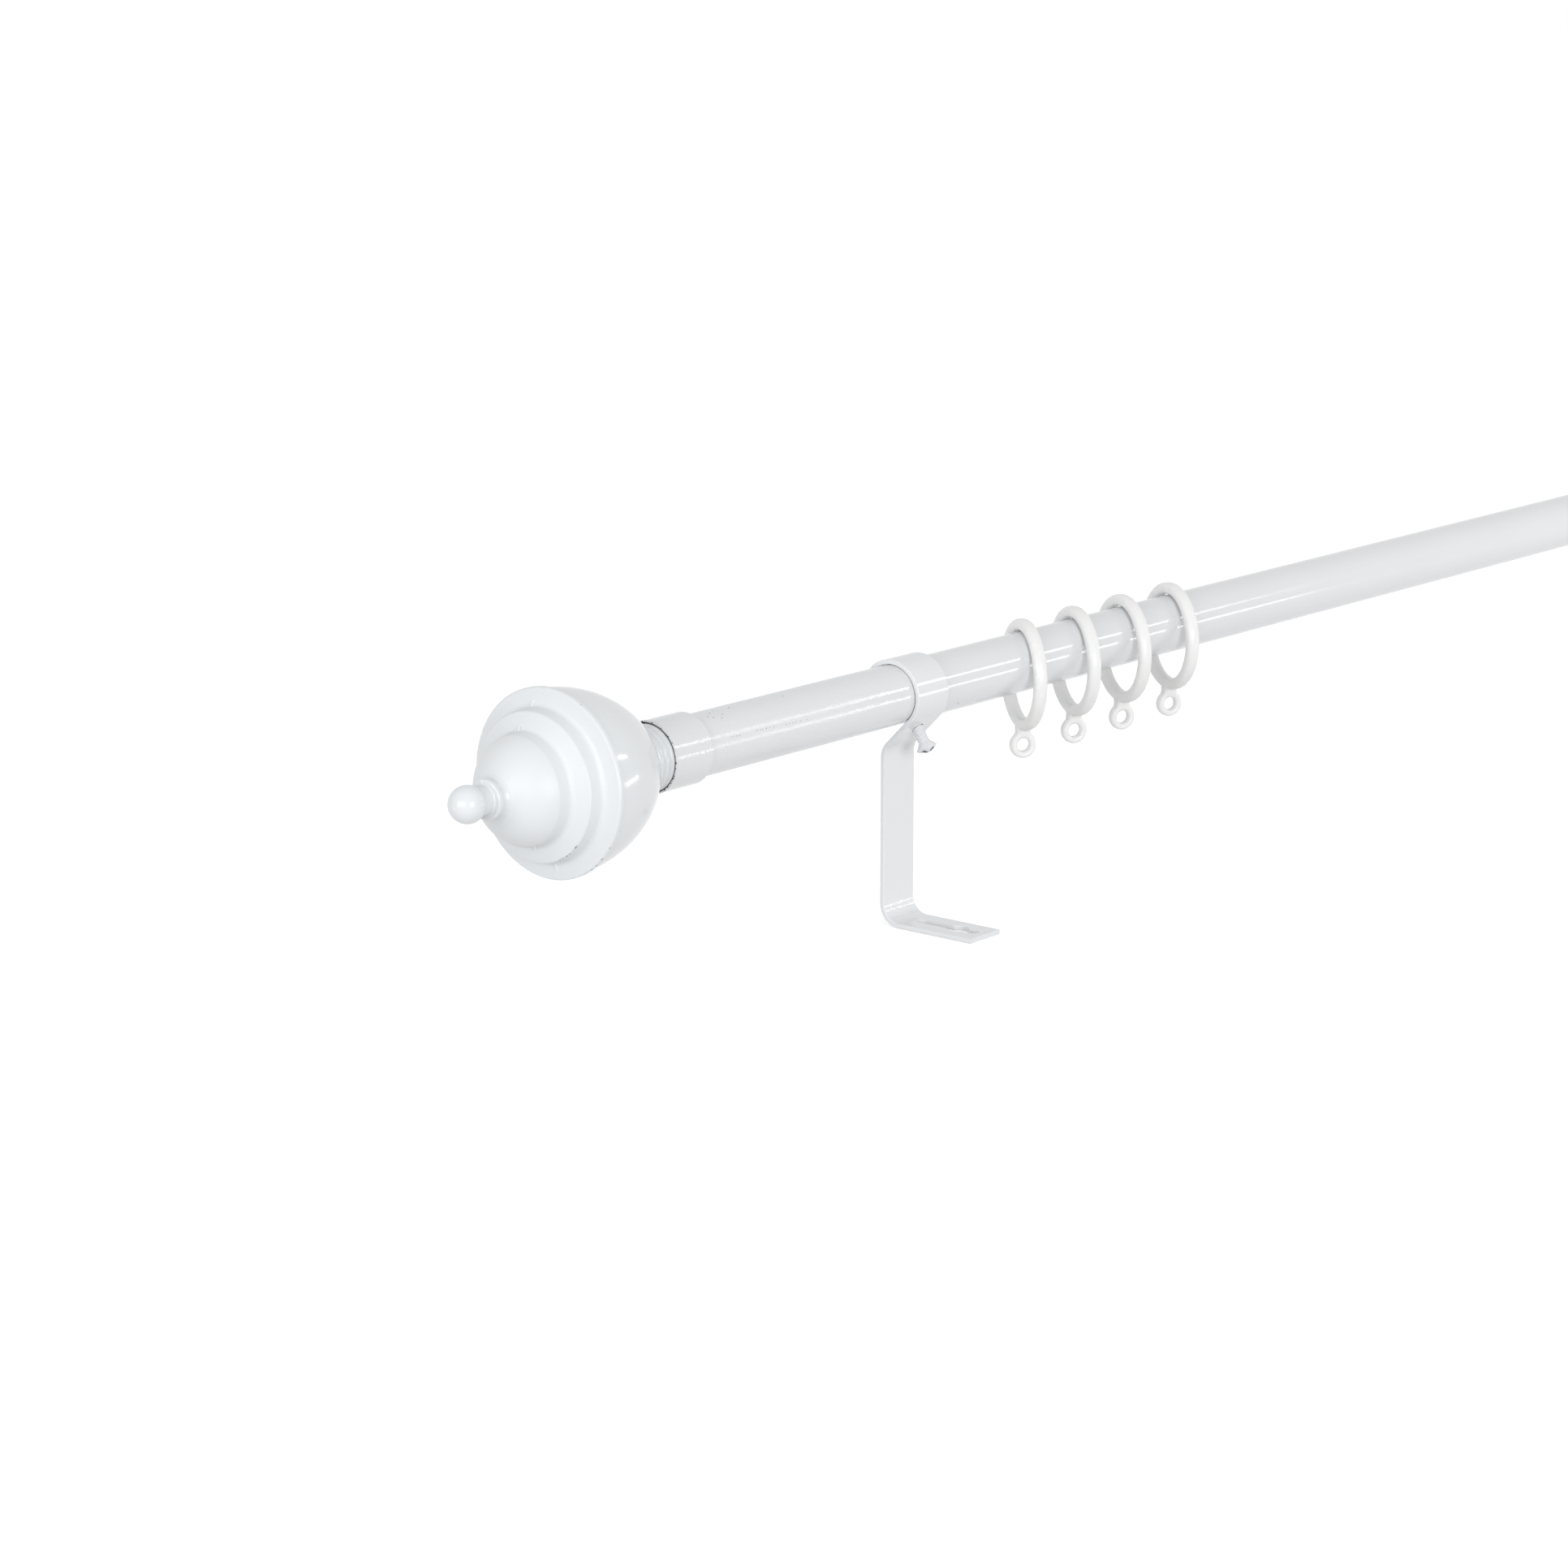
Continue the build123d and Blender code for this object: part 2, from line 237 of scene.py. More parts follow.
class Sheet:
    """The nodes of one material or of the world."""

    def __init__(self, tree: bpy.types.NodeTree) -> None:
        """Clear a tree and take it as the sheet.

        Args:
            tree: the nodes of a material or of the world.
        """
        tree.nodes.clear()
        self.tree = tree
        self.place = self.node("ShaderNodeTexCoord").outputs["Object"]

    def node(
        self,
        kind: str,
        settings: dict[str, Any] | None = None,
        inputs: dict[str | int, Any] | None = None,
    ) -> bpy.types.Node:
        """Add any node.

        Args:
            kind: the node's type.
            settings: its own options, set first.
            inputs: a value or a link for each named or numbered socket.

        Returns:
            The node.
        """
        made = self.tree.nodes.new(kind)
        for name, setting in (settings or {}).items():
            setattr(made, name, setting)
        for name, value in (inputs or {}).items():
            source = value.socket if isinstance(value, Amount) else value
            if isinstance(source, bpy.types.NodeSocket):
                self.tree.links.new(source, made.inputs[name])
            else:
                made.inputs[name].default_value = source
        return made

    def amount(self, socket: bpy.types.NodeSocket) -> Amount:
        """Take a socket's number into sums."""
        return Amount(self, socket)

    def axes(self) -> tuple[Amount, Amount, Amount]:
        """Give X, Y and Z of the surface's place."""
        made = self.node("ShaderNodeSeparateXYZ", inputs={0: self.place})
        return tuple(self.amount(socket) for socket in made.outputs)

    def noise(self, length: float, detail: float = 1.0) -> Amount:
        """Add a cloudy pattern about one half.

        Args:
            length: how far apart its waves are.
            detail: how many finer layers lie on it.

        Returns:
            The pattern's height.
        """
        inputs = {"Vector": self.place, "Scale": 1 / length, "Detail": detail}
        return self.amount(self.node("ShaderNodeTexNoise", inputs=inputs).outputs[0])

    def ripple(self, length: float, detail: float = 1.0) -> Amount:
        """Add the same cloudy pattern about zero."""
        return self.noise(length, detail) - NOISE_MIDDLE

    def grains(self, spacing: float, share: float, radius: float) -> Amount:
        """Scatter round grains.

        Args:
            spacing: about how far apart the cells are that may hold a grain.
            share: the part of the cells that do.
            radius: a grain's radius.

        Returns:
            One inside a grain, easing to zero at its edge.
        """
        cells = self.node("ShaderNodeTexVoronoi", inputs={"Vector": self.place, "Scale": 1 / spacing})
        draw = self.node("ShaderNodeSeparateColor", inputs={0: cells.outputs["Color"]})
        reach = self.amount(cells.outputs["Distance"]) * spacing
        return reach.ease(radius, radius / 3) * (self.amount(draw.outputs[0]) < share)

    def distance(self, point: Vector) -> Amount:
        """Measure the way to a fixed point."""
        made = self.node("ShaderNodeVectorMath", {"operation": "DISTANCE"}, {0: self.place, 1: point})
        return self.amount(made.outputs["Value"])

    def along(self, start: Vector, direction: Vector) -> Amount:
        """Measure the way from a fixed point along a direction.

        Args:
            start: the point.
            direction: the way to measure, of length one.

        Returns:
            The distance, less than zero on the other side of the point.
        """
        inputs = {0: self.place, 1: direction}
        made = self.node("ShaderNodeVectorMath", {"operation": "DOT_PRODUCT"}, inputs)
        return self.amount(made.outputs["Value"]) - start.dot(direction)

    def mix(self, share: Amount, first: Any, second: Any) -> bpy.types.NodeSocket:
        """Mix two colours.

        Args:
            share: how much of the second shows.
            first: a colour or a socket that gives one.
            second: the other.

        Returns:
            The mixed colour.
        """
        pair = [(*side, 1.0) if isinstance(side, tuple) else side for side in (first, second)]
        made = self.node("ShaderNodeMix", {"data_type": "RGBA"}, {0: share, 6: pair[0], 7: pair[1]})
        return made.outputs[2]

    def bump(self, height: Amount) -> bpy.types.NodeSocket:
        """Turn a height in metres into a normal."""
        return self.node("ShaderNodeBump", inputs={"Distance": 1.0, "Height": height}).outputs[0]

    def seen(self) -> Amount:
        """Tell the rays that show the surface to the eye from those that light the object.

        Returns:
            One for rays that come straight, mirrored or through glass.
        """
        path = self.node("ShaderNodeLightPath")
        rays = ("Is Camera Ray", "Is Glossy Ray", "Is Transmission Ray")
        return worst(self.amount(path.outputs[ray]) for ray in rays)


def worst(masks: Iterable[Amount]) -> Amount:
    """Join masks, so that the strongest shows at each place.

    Args:
        masks: the masks, one or more.

    Returns:
        The joined mask.
    """
    first, *others = masks
    for mask in others:
        first = first.most(mask)
    return first


@dataclass(frozen=True)
class Specks:
    """Dark specks at chosen places, in the colour of the bare coat."""

    places: tuple[Vector, ...]
    radius: float

    def mask(self, sheet: Sheet) -> Amount:
        """Draw the specks.

        Args:
            sheet: the material's nodes.

        Returns:
            One inside a speck.
        """
        ragged = sheet.ripple(self.radius) * (2 * self.radius)
        return worst(
            (sheet.distance(place) + ragged).ease(self.radius, self.radius / 2) for place in self.places
        )


@dataclass(frozen=True)
class EdgeChipsAndCreaseShade:
    """Chips knocked off along a round edge of a turned piece, within one sector of it; with an unbroken chip level
    the same mask paints shade as a solid dark band along a crease.

    The edge is given by its place along the rod and its radius, and the sector in degrees from the front.
    """

    edge: Pair
    middle: float
    spread: float
    reach: float
    chip_level: float
    chip_length: float = 0.9 * MM
    chip_fade: float = 0.06

    def mask(self, sheet: Sheet) -> Amount:
        """Draw the chips.

        Args:
            sheet: the material's nodes.

        Returns:
            One where the paint is gone, or where the crease is shaded.
        """
        along, depth, height = sheet.axes()
        rise = height - ROD_HEIGHT
        radius = depth.hypot(rise)
        aside = abs(rise.angle(0 - depth) - self.middle)
        sector = aside.ease(self.spread, self.spread / 2)
        edge_along, edge_radius = self.edge
        close = (along - edge_along).hypot(radius - edge_radius).ease(self.reach, self.reach / 2)
        pattern = sheet.noise(self.chip_length, detail=2.0)
        broken = pattern.ease(self.chip_level, self.chip_level + self.chip_fade)
        return close * sector * broken


@dataclass(frozen=True)
class TornMouth:
    """A sleeve's bare end, with a torn edge of paint round it."""

    mouth: float
    outward: int
    reach: float = -0.06 * MM
    fade: float = 0.1 * MM
    tear_length: float = 1.1 * MM
    tear_depth: float = 1.8 * MM

    def mask(self, sheet: Sheet) -> Amount:
        """Draw the bare band.

        Args:
            sheet: the material's nodes.

        Returns:
            One where the paint is gone.
        """
        along = sheet.axes()[0]
        inward = (self.mouth - along) * self.outward
        torn = sheet.ripple(self.tear_length, detail=2.0) * self.tear_depth
        return (inward + torn).ease(self.reach, self.reach - self.fade)


@dataclass(frozen=True)
class BareBoreAndGapShade:
    """Dark faces that wrap closely round the rod: bare metal where spray paint does not reach, and painted shade
    in the narrow gap against the tube.
    """

    radius: float
    fade: float
    # Above this height over the rod's axis the faces are not darkened.
    undarkened_above: float = 20 * MM

    def mask(self, sheet: Sheet) -> Amount:
        """Draw the dark faces, which fade out above a given height over the rod's axis.

        Args:
            sheet: the material's nodes.

        Returns:
            One where the face is darkened, for bare metal and painted shade.
        """
        depth, height = sheet.axes()[1:]
        rise = height - ROD_HEIGHT
        below = rise.ease(self.undarkened_above, self.undarkened_above / 2)
        return depth.hypot(rise).ease(self.radius + self.fade, self.radius) * below


@dataclass(frozen=True)
class ChippedRecess:
    """A screw's cross recess with its paint broken away by the driver."""

    crown: Vector
    axis: Vector
    span: float
    slot: float
    depth: float
    fade: float = 0.05 * MM
    chip_length: float = 0.9 * MM
    chip_level: float = 0.45
    chip_depth: float = 1.1 * MM

    def mask(self, sheet: Sheet) -> Amount:
        """Draw the broken paint.

        Args:
            sheet: the material's nodes.

        Returns:
            One where the paint is gone.
        """
        ways = (ALONG_ROD, self.axis.cross(ALONG_ROD))
        first, second = (abs(sheet.along(self.crown, way)) for way in ways)
        ragged = (sheet.noise(self.chip_length, detail=2.0) - self.chip_level) * self.chip_depth
        fade, slot, span = self.fade, self.slot / 2, self.span / 2
        in_slot = (first.least(second) + ragged).ease(slot + fade, slot - fade)
        in_span = (first.most(second) + ragged).ease(span + fade, span - fade)
        in_head = sheet.along(self.crown, self.axis).ease(-self.depth - fade, -self.depth)
        return in_slot * in_span * in_head


Wear = Specks | EdgeChipsAndCreaseShade | TornMouth | BareBoreAndGapShade | ChippedRecess


@dataclass(frozen=True)
class Dulled:
    """A stretch along the rod where the paint dried to a softer shine."""

    start: float
    end: float
    fade: float = 1.0 * MM
    roughness: float = 0.40

    def share(self, sheet: Sheet) -> Amount:
        """Draw the stretch.

        Args:
            sheet: the material's nodes.

        Returns:
            One where the paint is dull.
        """
        low, high = sorted((self.start, self.end))
        along = sheet.axes()[0]
        return along.ease(low - self.fade, low + self.fade) * along.ease(high + self.fade, high - self.fade)


@dataclass(frozen=True)
class Pimples:
    """Lumps and grains of paint that gathered round one spot as it dried.

    Lumps are sized in grain spacings, and a grain adds a share of the height.
    """

    centre: Vector
    reach: float
    height: float = 0.13 * MM
    spacing: float = 1.0 * MM
    share: float = 0.6
    radius: float = 0.5 * MM
    lump_spacings: float = 1.3
    grain_share: float = 0.25

    @classmethod
    def fine(cls, centre: Vector, reach: float, height: float) -> "Pimples":
        """Make the closer, smaller grains of a dusty coat."""
        return cls(centre, reach, height, spacing=0.7 * MM, share=0.5, radius=0.3 * MM)

    def rise(self, sheet: Sheet) -> Amount:
        """Draw the lumps and grains.

        Args:
            sheet: the material's nodes.

        Returns:
            Their height.
        """
        near = sheet.distance(self.centre).ease(self.reach, self.reach / 2)
        grains = sheet.grains(self.spacing, self.share, self.radius)
        lumps = sheet.noise(self.lump_spacings * self.spacing) + grains * self.grain_share
        return lumps * near * self.height


@dataclass(frozen=True)
class Enamel:
    """Gloss white enamel with a little orange peel, sprayed over a dark coat."""

    colour: Colour = (0.800, 0.812, 0.828)
    shade: Colour = (0.778, 0.788, 0.802)
    # The dark coat's colour, shown where paint is gone; the same colour also darkens the finial's neck groove and
    # the faces in the gaps round the rod as painted shade.
    bare: Colour = (0.070, 0.074, 0.082)
    roughness: float = 0.11
    roughness_drift: float = 0.08
    bare_roughness: float = 0.55
    peel_length: float = 1.1 * MM
    peel_depth: float = 0.007 * MM
    drift_length: float = 34 * MM
    shine_length: float = 8.5 * MM
    grit_spacing: float = 2.6 * MM
    grit_share: float = 0.10
    grit_radius: float = 0.34 * MM
    grit_height: float = 0.020 * MM
    film: float = 0.07 * MM

    def material(
        self,
        name: str,
        wear: Sequence[Wear] = (),
        pimples: Sequence[Pimples] = (),
        dulled: Sequence[Dulled] = (),
    ) -> bpy.types.Material:
        """Mix the paint for one piece.

        Args:
            name: the material's name.
            wear: the marks that this piece carries.
            pimples: where its paint is lumpy.
            dulled: where its shine is softer.

        Returns:
            The material.
        """
        material = new_material(name)
        sheet = Sheet(material.node_tree)
        colour = sheet.mix(sheet.noise(self.drift_length, detail=2.0), self.colour, self.shade)
        roughness = self.roughness + sheet.ripple(self.shine_length) * self.roughness_drift
        grit = sheet.grains(self.grit_spacing, self.grit_share, self.grit_radius)
        height = sheet.ripple(self.peel_length) * self.peel_depth + grit * self.grit_height
        for patch in pimples:
            height = height + patch.rise(sheet)
        for stretch in dulled:
            roughness = roughness + stretch.share(sheet) * (stretch.roughness - self.roughness)
        if wear:
            # Bare dark coat where paint is gone, and painted shade where the groove and gap masks darken the
            # enamel with the same colour.
            gone = worst(mark.mask(sheet) for mark in wear)
            colour = sheet.mix(gone, colour, self.bare)
            roughness = roughness + gone * (self.bare_roughness - self.roughness)
            height = height - gone * self.film
        finish_material(sheet, {"Base Color": colour, "Roughness": roughness, "Normal": sheet.bump(height)})
        return material


@dataclass(frozen=True)
class MilkyPlastic:
    """Moulded white plastic that lets a little light through."""

    colour: Colour = (0.890, 0.891, 0.890)
    shade: Colour = (0.870, 0.869, 0.862)
    roughness: float = 0.26
    roughness_drift: float = 0.1
    drift_length: float = 12 * MM
    grain_length: float = 0.5 * MM
    grain_depth: float = 0.006 * MM
    scatter: float = 0.6
    scatter_colour: Colour = (1.0, 0.95, 0.9)
    scatter_reach: float = 2.0 * MM

    def material(self, name: str) -> bpy.types.Material:
        """Mix the plastic.

        Args:
            name: the material's name.

        Returns:
            The material.
        """
        material = new_material(name)
        sheet = Sheet(material.node_tree)
        drift = sheet.noise(self.drift_length, detail=2.0)
        height = sheet.ripple(self.grain_length, detail=2.0) * self.grain_depth
        finish_material(
            sheet,
            {
                "Base Color": sheet.mix(drift, self.colour, self.shade),
                "Roughness": self.roughness + (drift - NOISE_MIDDLE) * self.roughness_drift,
                "Normal": sheet.bump(height),
                "Subsurface Weight": self.scatter,
                "Subsurface Radius": self.scatter_colour,
                "Subsurface Scale": self.scatter_reach,
            },
        )
        return material


def new_material(name: str) -> bpy.types.Material:
    """Start a material made of nodes.

    Args:
        name: the material's name.

    Returns:
        The material, with nothing of its own yet.
    """
    material = bpy.data.materials.new(name)
    material.use_nodes = True
    return material


def finish_material(sheet: Sheet, inputs: dict[str, Any]) -> None:
    """Close a material with its surface shader.

    Args:
        sheet: the material's nodes.
        inputs: the values and links of the shader's sockets.
    """
    surface = sheet.node("ShaderNodeBsdfPrincipled", inputs=inputs)
    sheet.node("ShaderNodeOutputMaterial", inputs={"Surface": surface.outputs[0]})


def dress(piece: bpy.types.Object, material: bpy.types.Material) -> None:
    """Give a piece its material.

    Args:
        piece: a solid of the frame, or a piece made here.
        material: what it is finished in.
    """
    if not piece.material_slots:
        piece.data.materials.append(material)
    for slot in piece.material_slots:
        slot.material = material
    log.info("%s dressed in %s", piece.name, material.name)


def clear_hands() -> None:
    """Select nothing."""
    bpy.ops.object.select_all(action="DESELECT")


def hold(piece: bpy.types.Object) -> None:
    """Select one piece alone and make it the active one.

    Args:
        piece: the piece to work on.
    """
    clear_hands()
    piece.select_set(True)
    bpy.context.view_layer.objects.active = piece


def added(name: str) -> bpy.types.Object:
    """Name the shape that was just added.

    Args:
        name: the new piece's name.

    Returns:
        The piece.
    """
    piece = bpy.context.object
    piece.name = name
    piece.data.name = name
    return piece


@contextmanager
def editing(piece: bpy.types.Object, pick: Callable[[Vector], bool] | None = None) -> Iterator[None]:
    """Open a piece in edit mode with some of its points selected.

    Args:
        piece: the mesh to work on.
        pick: tells which points are selected by their place, or None for all.

    Returns:
        A context in which edit operators act on those points.
    """
    hold(piece)
    bpy.ops.object.mode_set(mode="EDIT")
    bpy.context.tool_settings.mesh_select_mode = (True, False, False)
    bpy.ops.mesh.select_all(action="DESELECT" if pick else "SELECT")
    if pick:
        shape = bmesh.from_edit_mesh(piece.data)
        for point in shape.verts:
            point.select_set(pick(point.co))
        shape.select_flush_mode()
        bmesh.update_edit_mesh(piece.data)
    yield
    bpy.ops.object.mode_set(mode="OBJECT")


def weld(piece: bpy.types.Object) -> None:
    """Merge a piece's doubled points and turn its faces outwards.

    Args:
        piece: the mesh to close.
    """
    with editing(piece):
        bpy.ops.mesh.remove_doubles(threshold=WELD)
        bpy.ops.mesh.normals_make_consistent(inside=False)


def block(name: str, size: Point) -> bpy.types.Object:
    """Add a block about the origin, to be shaped further.

    Args:
        name: the new piece's name.
        size: its size along X, Y and Z.

    Returns:
        The piece.
    """
    clear_hands()
    bpy.ops.mesh.primitive_cube_add(size=1, location=(0, 0, 0))
    piece = added(name)
    with editing(piece):
        bpy.ops.transform.resize(value=size, center_override=(0, 0, 0))
    return piece


def drawn_line(name: str, points: Sequence[Vector]) -> bpy.types.Object:
    """Draw a line through points, one extruded step after another.

    Args:
        name: the new piece's name.
        points: the line's corners.

    Returns:
        The piece, a line with no faces.
    """
    clear_hands()
    bpy.ops.mesh.primitive_plane_add(size=MM, location=(0, 0, 0))
    line = added(name)
    with editing(line):
        bpy.ops.mesh.merge(type="CENTER")
        bpy.ops.transform.translate(value=points[0])
        for start, end in pairwise(points):
            bpy.ops.mesh.extrude_vertices_move(TRANSFORM_OT_translate={"value": end - start})
    return line


def spun(piece: bpy.types.Object, axis: Point, steps: int) -> None:
    """Spin a line or loop a full turn into a closed skin.

    Args:
        piece: the line or loop.
        axis: the direction of the spin axis, which goes through the origin.
        steps: how many steps the turn takes.
    """
    with editing(piece):
        bpy.ops.mesh.spin(steps=steps, angle=FULL_TURN, center=(0, 0, 0), axis=axis)
    weld(piece)


def modified(piece: bpy.types.Object, kind: str, **settings: Any) -> None:
    """Add a modifier and apply it.

    Args:
        piece: the piece to change.
        kind: the modifier's type.
        settings: its options.
    """
    hold(piece)
    modifier = piece.modifiers.new(kind.lower(), kind)
    for name, setting in settings.items():
        setattr(modifier, name, setting)
    bpy.ops.object.modifier_apply(modifier=modifier.name)


def cut(piece: bpy.types.Object, tool: bpy.types.Object) -> None:
    """Cut a tool's shape out of a piece, and put the tool away."""
    modified(piece, "BOOLEAN", operation="DIFFERENCE", object=tool, solver="EXACT")
    bpy.data.objects.remove(tool)


def joined(pieces: Sequence[bpy.types.Object]) -> bpy.types.Object:
    """Join pieces into the first of them.

    Args:
        pieces: the pieces, of which the others are used up.

    Returns:
        The first piece.
    """
    hold(pieces[0])
    for piece in pieces:
        piece.select_set(True)
    bpy.ops.object.join()
    return pieces[0]


def put(piece: bpy.types.Object, place: Matrix) -> None:
    """Move a piece to its place and work that place into its mesh.

    Args:
        piece: the piece to move.
        place: where it goes and how it is turned.
    """
    hold(piece)
    piece.matrix_world = place
    bpy.ops.object.transform_apply(location=True, rotation=True, scale=True)


def copied(piece: bpy.types.Object, name: str) -> bpy.types.Object:
    """Copy a piece with a mesh of its own.

    Args:
        piece: the piece to copy.
        name: the copy's name.

    Returns:
        The copy.
    """
    hold(piece)
    bpy.ops.object.duplicate(linked=False)
    return added(name)


def smoothed(piece: bpy.types.Object, angle: float = 35.0) -> None:
    """Shade a piece smooth, but for edges sharper than an angle in degrees."""
    hold(piece)
    bpy.ops.object.shade_smooth_by_angle(angle=math.radians(angle))


def carried(piece: bpy.types.Object, body: str, material: bpy.types.Material) -> None:
    """Hand a finished piece to the body that carries it.

    Args:
        piece: the new piece.
        body: the body it moves with.
        material: how it looks.
    """
    dress(piece, material)
    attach(piece, body)


@dataclass
class Rod:
    """The tube, with small bare specks and a row of dark flecks near the left ferrule.

    A mark is given in millimetres from the left end and degrees up from the front.
    """

    enamel: Enamel
    node: str = "rod_tube"
    specks: tuple[Pair, ...] = (
        (15.0, 70), (16.6, 63), (17.4, 77), (19.5, 57), (20.5, 86), (21.3, 66), (27.0, 80),
        (52.0, 74), (136.0, -36), (131.0, -44),
    )
    speck_radius: float = 0.26 * MM
    # A row of dark flecks along the tube, drawn like bare specks in the dark coat's colour.
    flecks: tuple[Pair, ...] = (
        (19.4, 17.6), (20.6, 17.4), (21.8, 17.2), (23.2, 17.0), (31.5, 17.4), (33.0, 17.2),
        (34.2, 17.0), (36.0, 17.0), (37.5, 16.8), (39.5, 16.6), (45.5, 15.0), (47.0, 14.8),
        (48.6, 14.6), (50.0, 14.4), (52.5, 14.2), (55.5, 13.8), (104.0, 12.0),
    )
    fleck_radius: float = 0.17 * MM
    rough_end: float = 85 * MM
    grain_reach: float = 76.5 * MM
    grain_height: float = 0.055 * MM
    satin_fade: float = 20 * MM
    satin_roughness: float = 0.21

    def build(self) -> None:
        """Dress the tube."""
        low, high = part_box(self.node)
        radius = (high.z - low.z) / 2
        marks = [
            Specks(tuple(around_rod(low.x + step * MM, radius, angle) for step, angle in places), size)
            for places, size in ((self.specks, self.speck_radius), (self.flecks, self.fleck_radius))
        ]
        middle = around_rod(low.x + self.rough_end / 2, radius, 0)
        grainy = Pimples.fine(middle, self.grain_reach, self.grain_height)
        satin = Dulled(low.x, low.x + self.rough_end, self.satin_fade, self.satin_roughness)
        dress(frame["nodes"][self.node], self.enamel.material("tube_enamel", marks, [grainy], [satin]))


@dataclass
class Ferrule:
    """A sleeve on the tube's end, with torn paint round its mouth where the finial screws in."""

    end: End
    enamel: Enamel
    # The bore is darkened inside this radius: bare metal, and painted shade in the gap round the finial's neck.
    bare_and_shaded_inside: float = 10.93 * MM
    bare_and_shade_fade: float = 0.06 * MM
    grain_height: float = 0.045 * MM
    lip_length: float = 2.2 * MM
    lip_proud: float = 0.03 * MM
    lip_film: float = 0.06 * MM
    lip_points: int = 220
    tear_seed: int = 4
    tear_depth: float = 0.85 * MM
    tear_share: float = 0.45
    tear_power: float = 2.2
    tear_least: float = 0.75

    @property
    def node(self) -> str:
        """The ferrule's name in the frame."""
        return f"ferrule_{self.end.value}"

    def mouth(self) -> float:
        """X of the end that the finial screws into."""
        low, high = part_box(self.node)
        return low.x if self.end is End.LEFT else high.x

    def build(self) -> None:
        """Dress the ferrule, and tear the paint of the left one."""
        wear: list[Wear] = [BareBoreAndGapShade(self.bare_and_shaded_inside, self.bare_and_shade_fade)]
        if self.end is End.LEFT:
            wear.append(TornMouth(self.mouth(), self.end.outward))
        low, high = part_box(self.node)
        grainy = Pimples.fine((low + high) / 2, 2 * (high.x - low.x), self.grain_height)
        dress(frame["nodes"][self.node], self.enamel.material(f"{self.node}_enamel", wear, [grainy]))
        if self.end is End.LEFT:
            self.tear_paint()

    def tear_paint(self) -> None:
        """Model the film of paint that ends raggedly round the mouth."""
        low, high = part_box(self.node)
        outer = self.mouth()
        inner = outer - self.end.outward * self.lip_length
        clear_hands()
        bpy.ops.mesh.primitive_cylinder_add(
            vertices=self.lip_points,
            radius=(high.z - low.z) / 2 + self.lip_proud,
            depth=self.lip_length,
            end_fill_type="NOTHING",
            location=((inner + outer) / 2, 0, ROD_HEIGHT),
            rotation=(0, math.pi / 2, 0),
        )
        lip = added(f"torn_paint_{self.end.value}")
        put(lip, lip.matrix_world.copy())
        self.ragged_edge(lip, outer)
        modified(lip, "SOLIDIFY", thickness=self.lip_film, offset=0.0)
        smoothed(lip)
        carried(lip, "rod", self.enamel.material("torn_paint_enamel"))

    def ragged_edge(self, lip: bpy.types.Object, edge: float) -> None:
        """Pull the edge points back by uneven steps.

        Args:
            lip: the film of paint, a plain band.
            edge: X of its outer edge.
        """
        draw = random.Random(self.tear_seed)
        pull = 0.0
        turn = FULL_TURN / self.lip_points
        for index in range(self.lip_points):
            if draw.random() < self.tear_share:
                pull = self.tear_depth * draw.random() ** self.tear_power
            back = pull * draw.uniform(self.tear_least, 1.0)
            middle = index * turn

            def on_edge(point: Vector, middle: float = middle) -> bool:
                """Tell whether a point is the one at this angle on the outer edge."""
                aside = math.remainder(math.atan2(point.z - ROD_HEIGHT, point.y) - middle, FULL_TURN)
                return abs(point.x - edge) < WELD and abs(aside) < turn / 2

            with editing(lip, on_edge):
                bpy.ops.transform.translate(value=(-self.end.outward * back, 0, 0))


